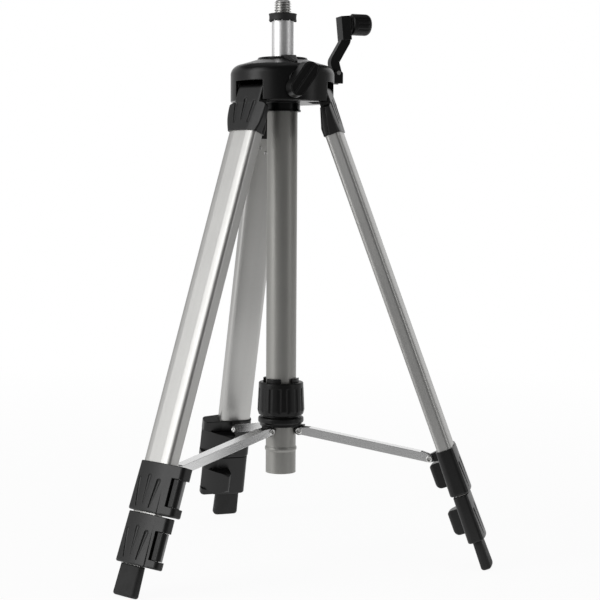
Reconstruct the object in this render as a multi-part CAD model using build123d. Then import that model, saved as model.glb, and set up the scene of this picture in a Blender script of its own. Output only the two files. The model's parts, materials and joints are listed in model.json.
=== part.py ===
from build123d import *
import math
import os

os.makedirs("parts", exist_ok=True)

# Frame: Z is the column axis and points up, the origin is the seat that an instrument rests on.
# +Y points at the rear leg, -Y at the lock knob and +X at the crank. All sizes are millimetres.

# Fits
running_gap = 0.06
slip_gap = 0.3
seat_gap = 0.02

# Mounting stud, platform and column
stud_diameter = 15.875
stud_length = 12.7
stud_chamfer = 1.6
stud_shank_radius = 6.0
stud_shank_length = 20.0
stud_collar_width = 1.3
stud_collar_height = 1.5
flange_radius = 12.9
flange_height = 6.7
flange_waist = 0.5
flange_scallops = 8
flange_scallop_depth = 1.1
flange_scallop_radius = 7.0
flange_socket_depth = 3.0
column_radius = 10.0
column_wall = 1.5
column_length = 374.0
column_foot_length = 12.0
column_foot_chamfer = 1.0
column_foot_spigot = 14.0

# Rack on the back of the column and the pinion that drives it
rack_pitch = 2.5
rack_addendum = 0.6
rack_dedendum = 0.85
rack_backlash = 0.2
rack_inset = 0.55
rack_width = 5.9
rack_foot_width = 9.0
rack_foot_thickness = 1.8
rack_below_stud = 1.0
rack_length = 291.0
pressure_angle = 25.0
pinion_teeth = 12
pinion_width = 5.4
journal_step = 0.4

# Head cover
head_radius = 47.6
head_top = -40.0
head_bottom = -80.5
head_wall = 2.6
disc_radius = 22.4
disc_height = 1.8
disc_slope = 0.8
cone_inset = 8.5
cone_drop = 4.8
shoulder_drop = 8.6
shoulder_radius = 10.0
roof_thickness = 4.6
cone_inner_step = 1.6
rim_chamfer = 0.6
ridge_half_width = 7.0
ridge_nose = 1.2
ridge_inner = 15.5
ridge_outer = 39.0
ridge_rise = 1.3

# Head base: plate, tube collar, guide tower and shaft bearing
base_gap = 0.9
base_proud = 0.3
base_thickness = 3.0
base_chamfer = 0.5
tower_wall = 6.6
tower_gap = 1.5
collar_wall = 2.3
collar_drop = 8.0
collar_lip = 0.7
collar_lip_height = 1.6
tube_socket_depth = 4.5
bearing_half_length = 12.0
bearing_wall = 1.6
bush_wall = 2.4
bush_length = 9.0
bush_lip = 0.2

# Leg slots in the head
neck_half_width = 15.0
slot_side_gap = 1.3
slot_top = -62.5
slot_depth = 22.6
cheek_thickness = 2.4
cheek_depth = 23.6
cheek_slope = 5.0
pivot_pin_radius = 2.0
pivot_edge = 2.5

# Outer tube, sliding hub and lock nut
outer_tube_radius = 14.0
outer_tube_wall = 1.2
outer_tube_bottom = -423.0
bead_z = -400.4
bead_rise = 0.85
bead_width = 4.6
hub_pivot_z = -383.1
hub_pivot_gap = 0.77
hub_pivot_drop = 4.2
hub_neck_wall = 5.24
hub_neck_height = 2.7
hub_ring_wall = 7.14
hub_ring_height = 5.5
hub_ring_round = 1.6
hub_collet_wall = 2.54
hub_collet_rise = 3.7
hub_collet_slots = 4
hub_slot_width = 10.6
hub_slot_depth = 16.0
nut_gap = 2.0
nut_height = 30.5
nut_top_wall = 4.04
nut_belly_wall = 5.24
nut_belly_height = 4.6
nut_bottom_wall = 3.94
nut_round = 1.3
nut_flutes = 16
nut_flute_radius = 3.4
nut_flute_depth = 0.7
nut_flute_margin = 5.0

# Braces
brace_width = 10.5
brace_wall = 1.0
brace_above = 4.6
brace_below = 3.3
brace_web_setback = 9.0
tongue_gap = 0.45
tongue_end_radius = 4.3
rivet_radius = 2.0
rivet_head_radius = 3.2
rivet_head_height = 1.2

# Legs: each axis starts at a point on the head's shoulder line and leans outwards
leg_tilt = 20.24
leg_axis_z = -58.3
leg_half_width = 16.0
leg_front_depth = 7.6
leg_back_depth = 7.3
leg_front_crown_height = 1.5
leg_back_crown_height = 0.5
leg_front_corner_radius = 1.67
leg_back_corner_radius = 2.48
leg_wall = 1.3
leg_nest_gap = 0.7
leg_groove_width = 1.4
leg_groove_depth = 0.35

# Distances along a leg from the start of its axis
pivot_along = 15.0
pivot_out = 3.5
neck_radius = 5.3
shoulder_along = 31.0
shoulder_ramp = 3.0
shoulder_half_width = 20.4
shoulder_step = 0.9
block_end = 55.0
block_skin = 1.2
tube_socket_along = 42.0
block_plug_end = 78.0
nest_step = 2.0
lower_nest_step = 20.0
middle_offset = 0.4
lower_offset = 1.6
lower_slimming = 0.8
upper_clamp_start = 358.5
upper_clamp_length = 42.8
clamp_gap = 1.2
lower_clamp_length = 43.8
upper_clamp_grip = 24.5
lower_clamp_grip = 25.8
clamp_skin = 1.5
lower_clamp_skin = 2.1
lower_clamp_side = 1.4
clamp_flare = 0.7
clamp_softness = 1.8
clamp_top_round = 0.7
clamp_bottom_round = 1.6
lug_drop = 4.5
lug_radius = 3.3
lug_root = 2.2
foot_gap = 0.3
foot_length = 27.0
foot_floor = 4.4
foot_skin = 1.2
foot_flare = 0.6
foot_softness = 2.6
foot_round = 2.4

# Teardrop recesses on the outer faces of hinge blocks and clamps
flute_depth = 1.2
flute_tail_depth = 0.15
flute_head_radius = 2.9
flute_tail_radius = 0.6
flute_fan = 9.0
flute_spacing = 11.4
flute_stagger = 3.0
block_flute_length = 16.0
block_flute_rise = 2.0
clamp_flute_length = 24.0
clamp_flute_drop = 12.5

# Flip levers
upper_ear_reach = 12.8
lower_ear_reach = 10.8
upper_ear_back = -1.2
lower_ear_back = 0.0
ear_radius = 4.2
ear_root_inset = 5.5
ear_front_step = 0.05
ear_back_step = 0.6
ear_window = 1.2
lever_pin_radius = 1.5
lever_pin_margin = 2.0
upper_lever_start = 11.0
lower_lever_start = 12.8
lever_length = 23.8
lever_rise = 11.2
lever_edge = 2.2
lever_crest = 6.0
lever_nose = 4.0
lever_barrel_gap = 0.2
lever_top_corner = 4.0
lever_bottom_corner = 6.0

# Crank
shaft_radius = 4.0
shaft_z = -57.3
shaft_inner_end = -13.0
shaft_step = 1.5
boss_radius = 8.0
boss_rise = 2.2
boss_depth = 9.0
clevis_gap = 0.4
clevis_length = 11.4
clevis_web = 2.2
clevis_web_radius = 7.2
clevis_drop = 3.5
clevis_half_width = 7.5
clevis_round = 3.0
hinge_reach = 7.0
hinge_rise = 6.3
hinge_pin_radius = 1.4
hinge_head_radius = 1.9
hinge_head_height = 0.6
arm_thickness = 8.6
arm_width = 9.0
arm_low_bend = (-2.8, 10.5)
arm_high_bend = (8.8, 30.5)
arm_tip = (6.6, 53.0)
arm_paddle_width = 15.0
arm_paddle_share = 0.02
arm_paddle_round = 3.0
arm_bend_radius = 5.0
grip_rise = 45.9
grip_boss = 1.9
grip_neck_radius = 8.0
grip_neck_length = 1.6
grip_length = 19.0
grip_radius = 10.0
grip_chamfer = 1.0
grip_dome_height = 5.0
grip_dome_inset = 4.5
grip_dome_radius = 5.2
grip_flutes = 12
grip_flute_radius = 2.0
grip_flute_depth = 0.4
grip_flute_start = 4.5
axle_radius = 2.5
axle_skin = 2.5
axle_head_radius = 4.6
axle_head_room = 0.4
axle_recess = 4.0
axle_head_height = 2.7

# Lock knob
lock_z = -62.7
lock_boss_radius = 9.0
lock_boss_rise = 0.9
lock_screw_radius = 3.0
lock_screw_depth = 6.0
knob_neck_radius = 7.5
knob_neck_length = 3.4
wing_depth = 11.0
wing_length = 36.0
wing_width = 17.4
wing_draft = 1.2
wing_lean = 35.0
wing_rim = 1.1
wing_recess = 0.6
wing_ridge = 1.6
pad_half_width = 4.0
pad_half_height = 5.0
pad_thickness = 3.0
pad_gap = 0.08
pad_side_gap = 0.1
pad_travel = 0.5
pad_wrap = 3.0


def bar_x(radius, start, end, y, z):
    """A round bar along X."""
    return Pos((start + end) / 2, y, z) * Rot(0, 90, 0) * Cylinder(radius, end - start)


def bar_y(radius, start, end, x, z):
    """A round bar along Y."""
    return Pos(x, (start + end) / 2, z) * Rot(90, 0, 0) * Cylinder(radius, end - start)


def bar_z(radius, start, end, x=0, y=0):
    """A round bar along Z."""
    return Pos(x, y, (start + end) / 2) * Cylinder(radius, end - start)


def block(x, y, z):
    """A rectangular block from its three (low, high) spans."""
    middle = [(span[0] + span[1]) / 2 for span in (x, y, z)]
    return Pos(*middle) * Box(x[1] - x[0], y[1] - y[0], z[1] - z[0])


def around(shape, count, offset=0.0):
    """Copies of a shape spaced evenly about the column axis."""
    return [Rot(0, 0, offset + 360 * i / count) * shape for i in range(count)]


def write(name, shape):
    """Save one piece under its node name."""
    export_step(shape, f"parts/{name}.step")


def leg_outline(half_width, front, back, softness=1.0):
    """Section of a leg tube: crowned outer face, flat sides, nearly flat inner face."""
    crown = half_width / leg_half_width
    front_edge = front - leg_front_crown_height * crown
    back_edge = leg_back_crown_height * crown - back
    face = make_face(
        [
            ThreePointArc((-half_width, front_edge), (0, front), (half_width, front_edge)),
            Line((half_width, front_edge), (half_width, back_edge)),
            ThreePointArc((half_width, back_edge), (0, -back), (-half_width, back_edge)),
            Line((-half_width, back_edge), (-half_width, front_edge)),
        ]
    )
    front_corner = softness * leg_front_corner_radius * front / leg_front_depth
    back_corner = softness * leg_back_corner_radius * back / leg_back_depth
    face = fillet(face.vertices().sort_by(Axis.Y)[2:], front_corner)
    return fillet(face.vertices().sort_by(Axis.Y)[:2], back_corner)


def grown(size, amount, side=0.0):
    """A leg section's (half width, front, back) with every face moved out, the sides further."""
    return (size[0] + amount + side, size[1] + amount, size[2] + amount)


def leg_prism(size, start, end):
    """A leg section drawn along the leg between two distances from its start."""
    return Pos(0, 0, -end) * extrude(leg_outline(*size), end - start)


def leg_tube(size, start, end):
    """A hollow leg tube."""
    return leg_prism(size, start, end) - leg_prism(grown(size, -leg_wall), start - through, end + through)


def leg_sleeve(top_size, bottom_size, start, end, softness=1.0):
    """A tapering solid between two leg sections."""
    top = Pos(0, 0, -start) * leg_outline(*top_size, softness)
    bottom = Pos(0, 0, -end) * leg_outline(*bottom_size, softness)
    return loft([top, bottom])


def flutes(along, length, front):
    """Three flame-shaped cutters, round at the top, fanned out along the crowned outer face."""
    flame = Pos(0, 0, -length / 2) * Cone(flute_tail_radius, flute_head_radius, length)
    flame += Sphere(flute_head_radius)
    head_lift = flute_head_radius - flute_depth
    tail_lift = flute_tail_radius - flute_tail_depth
    dip = math.degrees(math.atan2(head_lift - tail_lift, length))
    cutters = []
    for i in (-1, 0, 1):
        x = flute_spacing * i
        y = front + head_lift - leg_front_crown_height * (x / leg_half_width) ** 2
        z = -along - flute_stagger * abs(i)
        cutters.append(Pos(x, y, z) * Rot(0, flute_fan * i, 0) * Rot(-dip, 0, 0) * flame)
    return cutters


# How far a cutter runs past the face that it opens
through = 1.0

# Leg pivots: pins near the outer ends of the cheeks, from which the leg axes follow
tilt = math.radians(leg_tilt)
inner_radius = head_radius - head_wall
cheek_low = neck_half_width + slip_gap
cheek_outer = math.sqrt((inner_radius - slip_gap) ** 2 - (cheek_low + cheek_thickness) ** 2)
pivot_radius = cheek_outer - pivot_edge
leg_axis_radius = pivot_radius - pivot_along * math.sin(tilt) - pivot_out * math.cos(tilt)
pivot_z = leg_axis_z - pivot_along * math.cos(tilt) + pivot_out * math.sin(tilt)

upper_size = (leg_half_width, leg_front_depth, leg_back_depth)
middle_size = grown(upper_size, -leg_wall - leg_nest_gap)
lower_size = grown(middle_size, -leg_wall - leg_nest_gap, -lower_slimming)

# Stud and the platform whose spigot holds it in the column
stud_radius = stud_diameter / 2
stud_collar_radius = stud_radius + stud_collar_width
column_inner = column_radius - column_wall
column_top = flange_socket_depth - flange_height
column_bottom = column_top - column_length

stud = bar_z(stud_radius, 0, stud_length)
stud = chamfer(stud.edges().sort_by(Axis.Z)[-1], stud_chamfer)
stud += bar_z(stud_collar_radius, -stud_collar_height, 0)
stud += bar_z(stud_shank_radius, -stud_shank_length, -stud_collar_height)
write("mounting_stud", stud)

waist_radius = flange_radius - flange_waist
flange_rim = (flange_radius, -flange_height)
flange_bore = stud_shank_radius + seat_gap
stud_seat = stud_collar_radius + seat_gap
socket_outer = column_radius + seat_gap
spigot_radius = column_inner - seat_gap
flange_face = make_face(
    [
        Line((stud_seat, 0), (flange_radius, 0)),
        ThreePointArc((flange_radius, 0), (waist_radius, -flange_height / 2), flange_rim),
        Polyline(
            flange_rim,
            (socket_outer, -flange_height),
            (socket_outer, column_top),
            (spigot_radius, column_top),
            (spigot_radius, -stud_shank_length),
            (flange_bore, -stud_shank_length),
            (flange_bore, -stud_collar_height),
            (stud_seat, -stud_collar_height),
            (stud_seat, 0),
        ),
    ]
)
flange = revolve(Plane.XZ * flange_face, Axis.Z)
scallop_z = flange_scallop_depth - flange_height - flange_scallop_radius
scallop = bar_x(flange_scallop_radius, column_radius, flange_radius + through, 0, scallop_z)
scallop -= bar_z(socket_outer, scallop_z, 0)
flange -= around(scallop, flange_scallops, 180 / flange_scallops)
write("platform_flange", flange)

# Column tube, slotted for a rack that is held behind its wall
rack_face = column_radius - rack_inset
rack_line = rack_face - rack_addendum
rack_root = rack_line - rack_dedendum
rack_top = -stud_shank_length - rack_below_stud
rack_bottom = rack_top - rack_length
rack_foot_top = math.sqrt(column_inner**2 - (rack_foot_width / 2) ** 2) - seat_gap
pinion_pitch_radius = rack_pitch * pinion_teeth / (2 * math.pi)
shaft_y = rack_line + pinion_pitch_radius

tube = bar_z(column_radius, column_bottom, column_top)
tube -= bar_z(column_inner, column_bottom - through, column_top + through)
tube -= block(
    (-rack_width / 2 - seat_gap, rack_width / 2 + seat_gap),
    (0, column_radius + through),
    (rack_bottom - seat_gap, rack_top + seat_gap),
)
write("column_tube", tube)

# Rack: trapezoid teeth whose gaps line up with the pinion's axis
tooth_half = (rack_pitch - rack_backlash) / 4
flank = math.tan(math.radians(pressure_angle))
tip_half = tooth_half - rack_addendum * flank
root_half = tooth_half + rack_dedendum * flank
first_tooth = math.ceil((rack_bottom - shaft_z + rack_pitch) / rack_pitch)
last_tooth = math.floor((rack_top - shaft_z - rack_pitch) / rack_pitch)
outline = [(rack_foot_top, rack_bottom), (rack_root, rack_bottom)]
for i in range(first_tooth, last_tooth):
    centre = shaft_z + (i + 0.5) * rack_pitch
    outline += [(rack_root, centre - root_half), (rack_face, centre - tip_half)]
    outline += [(rack_face, centre + tip_half), (rack_root, centre + root_half)]
outline += [(rack_root, rack_top), (rack_foot_top, rack_top)]
rack = extrude(Plane.YZ * make_face(Polyline(*outline, close=True)), rack_width / 2, both=True)
rack += block(
    (-rack_foot_width / 2, rack_foot_width / 2),
    (rack_foot_top - rack_foot_thickness, rack_foot_top),
    (rack_bottom, rack_top),
)
write("column_rack", rack)

outer_tube_inner = outer_tube_radius - outer_tube_wall
plug = bar_z(outer_tube_inner - running_gap, column_bottom - column_foot_length, column_bottom)
plug = chamfer(plug.edges().sort_by(Axis.Z)[0], column_foot_chamfer)
plug += bar_z(column_inner - seat_gap, column_bottom, column_bottom + column_foot_spigot)
write("column_end_plug", plug)

# Crank shaft with its pinion: straight tooth flanks inside the involute of the rack
clevis_inner = head_radius + boss_rise + clevis_gap
tip_radius = pinion_pitch_radius + rack_addendum
root_radius = pinion_pitch_radius - rack_dedendum
journal_radius = root_radius - journal_step
involute_base = pinion_pitch_radius * math.cos(math.radians(pressure_angle))
tip_pressure = math.acos(involute_base / tip_radius)
root_angle = tooth_half / pinion_pitch_radius + flank - math.radians(pressure_angle)
tip_angle = root_angle - math.tan(tip_pressure) + tip_pressure
pinion_points = []
for i in range(pinion_teeth):
    centre = math.pi + 2 * math.pi * i / pinion_teeth
    for radius, angle in (
        (root_radius, -root_angle),
        (tip_radius, -tip_angle),
        (tip_radius, tip_angle),
        (root_radius, root_angle),
    ):
        pinion_points.append((radius * math.cos(centre + angle), radius * math.sin(centre + angle)))
pinion_face = make_face(Polyline(*pinion_points, close=True))
pinion_plane = Plane((-pinion_width / 2, shaft_y, shaft_z), x_dir=(0, 1, 0), z_dir=(1, 0, 0))
shaft = extrude(pinion_plane * pinion_face, pinion_width)
shaft += bar_x(journal_radius, shaft_inner_end, clevis_inner, shaft_y, shaft_z)
shaft += bar_x(shaft_radius, bearing_half_length + shaft_step, clevis_inner, shaft_y, shaft_z)
write("crank_shaft", shaft)

# Crank clevis: two cheeks on a round web at the end of the shaft
clevis_outer = clevis_inner + clevis_length
clevis_bottom = shaft_z - clevis_drop
hinge_x = clevis_inner + hinge_reach
hinge_z = shaft_z + hinge_rise
hinge_round = arm_thickness / 2
fork_half = arm_width / 2 + slip_gap / 2
web_face = clevis_inner + clevis_web
clevis_cheek = make_face(Polyline(
    (clevis_inner, clevis_bottom),
    (clevis_outer, clevis_bottom),
    (clevis_outer, hinge_z),
    (hinge_x, hinge_z + hinge_round + clevis_gap),
    (clevis_inner, shaft_z + shaft_radius),
    close=True,
))
clevis_cheek = fillet(clevis_cheek.vertices().sort_by(Axis.Y)[-2:], clevis_round)
arm_plane = Plane((0, shaft_y, 0), x_dir=(1, 0, 0), z_dir=(0, -1, 0))
hinge_span = (shaft_y - clevis_half_width, shaft_y + clevis_half_width)
hinge_bore = (hinge_span[0] - through, hinge_span[1] + through)
clevis = extrude(arm_plane * clevis_cheek, clevis_half_width, both=True)
clevis += bar_x(clevis_web_radius, clevis_inner, web_face, shaft_y, shaft_z)
clevis -= block(
    (web_face, clevis_outer + through),
    (shaft_y - fork_half, shaft_y + fork_half),
    (clevis_bottom - through, hinge_z + 2 * hinge_round),
)
clevis -= bar_y(hinge_pin_radius + seat_gap, *hinge_bore, hinge_x, hinge_z)
write("crank_clevis", clevis)

hinge_pin = bar_y(hinge_pin_radius, *hinge_span, hinge_x, hinge_z)
for end in (hinge_span[0] - hinge_head_height, hinge_span[1]):
    hinge_pin += bar_y(hinge_head_radius, end, end + hinge_head_height, hinge_x, hinge_z)
write("crank_hinge_pin", hinge_pin)

# Crank arm: zig-zag strip with a wide paddle that carries the grip's axle
low_bend, high_bend, tip = [
    (hinge_x + across, hinge_z + up) for across, up in (arm_low_bend, arm_high_bend, arm_tip)
]
grip_z = hinge_z + grip_rise
arm_path = FilletPolyline((hinge_x, hinge_z), low_bend, high_bend, tip, radius=arm_bend_radius)
arm_strip = trace(arm_path, arm_thickness) + Pos(hinge_x, hinge_z) * Circle(hinge_round)
paddle_start = Vector(*high_bend) + (Vector(*tip) - Vector(*high_bend)) * arm_paddle_share
paddle_inner = tip[0] - hinge_round
paddle_outer = tip[0] + hinge_round + grip_boss
arm = extrude(arm_plane * arm_strip, arm_width / 2, both=True)
paddle = extrude(
    arm_plane * trace(Polyline((paddle_start.X, paddle_start.Y), tip), arm_thickness),
    arm_paddle_width / 2,
    both=True,
)
paddle_height = tip[1] - paddle_start.Y
paddle_plane = Plane(
    (tip[0], shaft_y, tip[1] - paddle_height / 2),
    x_dir=(0, 1, 0),
    z_dir=(1, 0, 0),
)
paddle_face = RectangleRounded(arm_paddle_width, paddle_height + arm_thickness, arm_paddle_round)
arm += paddle & extrude(paddle_plane * paddle_face, arm_thickness, both=True)
arm += bar_x(arm_paddle_width / 2, tip[0], paddle_outer, shaft_y, grip_z)
arm -= bar_y(hinge_pin_radius + running_gap, *hinge_span, hinge_x, hinge_z)
axle_start = paddle_inner + axle_skin
arm -= bar_x(axle_radius + seat_gap, axle_start, paddle_outer + through, shaft_y, grip_z)
write("crank_arm", arm)

# Grip: domed and fluted, spinning on an axle whose head sits in a recess
grip_start = paddle_outer + slip_gap + grip_neck_length
grip_end = grip_start + grip_length
grip_bore = axle_radius + running_gap
recess_radius = axle_head_radius + axle_head_room
recess_floor = grip_length - axle_recess
dome_start = (grip_radius, grip_length - grip_dome_height)
dome_end = (grip_radius - grip_dome_inset, grip_length)
grip_outline = [
    Polyline(
        (grip_bore, -grip_neck_length),
        (grip_neck_radius, -grip_neck_length),
        (grip_neck_radius, 0),
        (grip_radius - grip_chamfer, 0),
        (grip_radius, grip_chamfer),
        dome_start,
    ),
    RadiusArc(dome_start, dome_end, -grip_dome_radius),
    Polyline(
        dome_end,
        (recess_radius, grip_length),
        (recess_radius, recess_floor),
        (grip_bore, recess_floor),
        (grip_bore, -grip_neck_length),
    ),
]
grip = revolve(Plane.XZ * make_face(grip_outline), Axis.Z)
flute_place = grip_radius + grip_flute_radius - grip_flute_depth
grip_flute = bar_z(grip_flute_radius, grip_flute_start, grip_length + through, flute_place)
grip -= around(grip_flute, grip_flutes)
write("crank_grip", Pos(grip_start, shaft_y, grip_z) * Rot(0, 90, 0) * grip)

axle_head = grip_end - axle_recess + slip_gap
axle = bar_x(axle_radius, axle_start + seat_gap, axle_head, shaft_y, grip_z)
axle += bar_x(axle_head_radius, axle_head, axle_head + axle_head_height, shaft_y, grip_z)
write("grip_axle", axle)

# Head cover: turned shell with a raised disc, a coned top and a rounded shoulder
bush_radius = column_radius + running_gap + bush_wall
cover_bore = bush_radius + seat_gap
cone_radius = head_radius - cone_inset
disc_bottom = head_top - disc_height
cone_bottom = disc_bottom - cone_drop
shoulder_z = cone_bottom - shoulder_drop
roof = head_top - roof_thickness
cone_ceiling = (cone_radius - cone_inner_step, cone_bottom - head_wall)
slot_inner = head_radius - slot_depth
lock_seat = head_radius + lock_boss_rise
boss_outer = head_radius + boss_rise
cover_outline = [
    Polyline(
        (cover_bore, head_top),
        (disc_radius, head_top),
        (disc_radius + disc_slope, disc_bottom),
        (cone_radius, cone_bottom),
    ),
    RadiusArc((cone_radius, cone_bottom), (head_radius, shoulder_z), shoulder_radius),
    Polyline(
        (head_radius, shoulder_z),
        (head_radius, head_bottom + rim_chamfer),
        (head_radius - rim_chamfer, head_bottom),
        (inner_radius, head_bottom),
        (inner_radius, shoulder_z),
    ),
    RadiusArc((inner_radius, shoulder_z), cone_ceiling, head_wall - shoulder_radius),
    Polyline(cone_ceiling, (disc_radius, roof), (cover_bore, roof), (cover_bore, head_top)),
]
cover = revolve(Plane.XZ * make_face(cover_outline), Axis.Z)
ridge_side = make_face(Polyline(
    (-ridge_inner, roof),
    (-ridge_inner, head_top + ridge_rise),
    (-disc_radius - disc_slope, head_top + ridge_rise),
    (-ridge_outer, cone_bottom + ridge_rise),
    (-ridge_outer, cone_bottom - head_wall),
    (-disc_radius, roof),
    close=True,
))
ridge_plan = make_face(Polyline(
    (-ridge_half_width, -ridge_inner),
    (ridge_half_width, -ridge_inner),
    (ridge_nose, -ridge_outer),
    (-ridge_nose, -ridge_outer),
    close=True,
))
ridge_height = head_top - cone_bottom + 2 * head_wall
ridge = extrude(Plane.YZ * ridge_side, ridge_half_width, both=True)
cover += ridge & Pos(0, 0, cone_bottom - head_wall) * extrude(ridge_plan, ridge_height)
cover += bar_y(lock_boss_radius, -lock_seat, -inner_radius + lock_boss_rise, 0, lock_z)
cover += bar_x(boss_radius, head_radius - boss_depth, boss_outer, shaft_y, shaft_z)
cover -= bar_y(lock_screw_radius + running_gap, -lock_seat - through, -slot_inner, 0, lock_z)
cover -= bar_x(shaft_radius + running_gap, slot_inner, boss_outer + through, shaft_y, shaft_z)
slot_half_width = neck_half_width + slot_side_gap
slot_outer = head_radius + through
slot_span = (-slot_half_width, slot_half_width)
leg_slot = block(slot_span, (slot_inner, slot_outer), (head_bottom - through, slot_top))
cover -= around(leg_slot, 3)
write("head_cover", cover)

bush = bar_z(bush_radius, head_top - bush_length, head_top + bush_lip)
bush -= bar_z(column_radius + running_gap, head_top - bush_length - through, head_top + through)
write("column_bush", bush)

# Head base: notched plate, collar for the outer tube, guide tower, shaft bearing and slot cheeks
base_bottom = head_bottom - base_proud
base_top = base_bottom + base_thickness
collar_bottom = base_bottom - collar_drop
tube_top = head_bottom + tube_socket_depth
tower_top = head_top - bush_length - tower_gap
tower_radius = column_radius + tower_wall
window_half = pinion_width / 2 + slip_gap
window_reach = tip_radius + slip_gap
bearing_reach = window_reach + bearing_wall
base = bar_z(inner_radius - base_gap, base_bottom, base_top)
base = chamfer(base.edges().sort_by(Axis.Z)[0], base_chamfer)
collar_radius = outer_tube_radius + collar_wall
base += bar_z(collar_radius, collar_bottom, base_bottom)
base += bar_z(collar_radius + collar_lip, collar_bottom, collar_bottom + collar_lip_height)
base += bar_z(tower_radius, base_top, tower_top)
base += block(
    (-bearing_half_length, bearing_half_length),
    (0, shaft_y + bearing_reach),
    (shaft_z - bearing_reach, shaft_z + bearing_reach),
)
base_slot = block((-cheek_low, cheek_low), (slot_inner, slot_outer), (base_bottom - through, slot_top))
base -= around(base_slot, 3)
cheek_root = base_top - base_thickness / 2
cheek_inner = head_radius - cheek_depth
cheek_top = slot_top - through
cheek_profile = make_face(Polyline(
    (cheek_inner, cheek_root),
    (cheek_outer, cheek_root),
    (cheek_outer, pivot_z + pivot_pin_radius),
    (cheek_outer - cheek_slope, cheek_top),
    (cheek_inner, cheek_top),
    close=True,
))
cheek = extrude(Plane.YZ * cheek_profile, cheek_thickness)
cheek_sides = (cheek_low, -cheek_low - cheek_thickness)
for side in cheek_sides:
    base += around(Pos(side, 0, 0) * cheek, 3)
base -= bar_z(outer_tube_radius + seat_gap, collar_bottom - through, tube_top)
base -= bar_z(column_radius + running_gap, tube_top - through, tower_top + through)
base -= block(
    (-window_half, window_half),
    (0, shaft_y + window_reach),
    (shaft_z - window_reach, shaft_z + window_reach),
)
base -= bar_x(journal_radius + running_gap, shaft_inner_end - through, tower_radius, shaft_y, shaft_z)
pad_slot_half = pad_half_width + pad_side_gap
pad_slot_rise = pad_half_height + pad_side_gap
base -= block((-pad_slot_half, pad_slot_half), (-tower_radius - through, 0),
              (lock_z - pad_slot_rise, lock_z + pad_slot_rise))
pins = []
for side in cheek_sides:
    far = side + cheek_thickness
    pins += around(bar_x(pivot_pin_radius, side, far, pivot_radius, pivot_z), 3)
    bore = bar_x(pivot_pin_radius + seat_gap, side - through, far + through, pivot_radius, pivot_z)
    base -= around(bore, 3)
write("head_base", base)
write("leg_pivot_pins", Compound(children=pins))

# Outer tube with its rolled bead
bead_top = (outer_tube_radius, bead_z + bead_width / 2)
bead_bottom = (outer_tube_radius, bead_z - bead_width / 2)
tube_outline = [
    Polyline((outer_tube_inner, tube_top), (outer_tube_radius, tube_top), bead_top),
    ThreePointArc(bead_top, (outer_tube_radius + bead_rise, bead_z), bead_bottom),
    Polyline(
        bead_bottom,
        (outer_tube_radius, outer_tube_bottom),
        (outer_tube_inner, outer_tube_bottom),
        (outer_tube_inner, tube_top),
    ),
]
write("outer_tube", revolve(Plane.XZ * make_face(tube_outline), Axis.Z))

# Lock knob: drafted wing with a rim and a middle ridge round two shallow recesses
wing_start = lock_seat + knob_neck_length
wing_end = wing_start + wing_depth
wing_turn = Rot(0, 0, 90 - wing_lean)
wing_back = Plane((0, -wing_start, lock_z), x_dir=(1, 0, 0), z_dir=(0, -1, 0))
wing_face = Plane((0, -wing_end, lock_z), x_dir=(1, 0, 0), z_dir=(0, -1, 0))
face_length = wing_length - 2 * wing_draft
face_width = wing_width - 2 * wing_draft
knob = loft([
    wing_back * (wing_turn * SlotOverall(wing_length, wing_width)),
    wing_face * (wing_turn * SlotOverall(face_length, face_width)),
])
hollow = SlotOverall(face_length - 2 * wing_rim, face_width - 2 * wing_rim)
hollow -= Rectangle(face_length, wing_ridge)
knob -= extrude(wing_face * (wing_turn * hollow), -wing_recess)
knob += bar_y(knob_neck_radius, -wing_start - through, -lock_seat - slip_gap, 0, lock_z)
screw_end = wing_start + lock_screw_depth
knob -= bar_y(lock_screw_radius + seat_gap, -screw_end, -lock_seat, 0, lock_z)
write("lock_knob", knob)

# Lock screw and the brake pad that it presses on the column
pad_back = column_radius + pad_gap + pad_thickness
screw_tip = pad_back + pad_travel + slip_gap / 2
write("lock_screw", bar_y(lock_screw_radius, -screw_end, -screw_tip, 0, lock_z))

pad = block(
    (-pad_half_width, pad_half_width),
    (-pad_back, pad_wrap - column_radius),
    (lock_z - pad_half_height, lock_z + pad_half_height),
)
pad -= bar_z(column_radius + pad_gap, lock_z - 2 * pad_half_height, lock_z + 2 * pad_half_height)
write("lock_pad", pad.solids().sort_by(Axis.Y)[0])

# Sliding hub: split collet, ring, neck and three tongues for the braces
hub_bore = outer_tube_radius + running_gap
hub_pivot_radius = outer_tube_radius + brace_below + hub_pivot_gap
collet_radius = hub_bore + hub_collet_wall
hub_neck_bottom = hub_pivot_z + hub_pivot_drop
hub_ring_bottom = hub_neck_bottom + hub_neck_height
hub_ring_top = hub_ring_bottom + hub_ring_height
nut_bottom = hub_ring_top + nut_gap
nut_top = nut_bottom + nut_height
hub_collet_top = nut_top + hub_collet_rise
tongue_half_width = brace_width / 2 - brace_wall - tongue_gap
hub_ring = bar_z(hub_bore + hub_ring_wall, hub_ring_bottom, hub_ring_top)
hub = fillet(hub_ring.edges(), hub_ring_round)
hub += bar_z(collet_radius, hub_ring_top - through, hub_collet_top)
hub += bar_z(hub_bore + hub_neck_wall, hub_neck_bottom, hub_ring_bottom)
tongue = make_hull(
    (Pos(hub_pivot_radius, hub_pivot_z) * Circle(tongue_end_radius)).edges()
    + (Pos(hub_pivot_radius, hub_neck_bottom) * Rectangle(2 * tongue_end_radius, 2 * through)).edges()
)
hub += around(extrude(Plane.YZ * tongue, tongue_half_width, both=True), 3)
hub -= bar_z(hub_bore, hub_pivot_z - 2 * tongue_end_radius, hub_collet_top + through)
collet_slot = block(
    (0, collet_radius + through),
    (-hub_slot_width / 2, hub_slot_width / 2),
    (hub_collet_top - hub_slot_depth, hub_collet_top + through),
)
hub -= around(collet_slot, hub_collet_slots)
tongue_reach = tongue_half_width + through
rivet_bore = rivet_radius + running_gap
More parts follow.
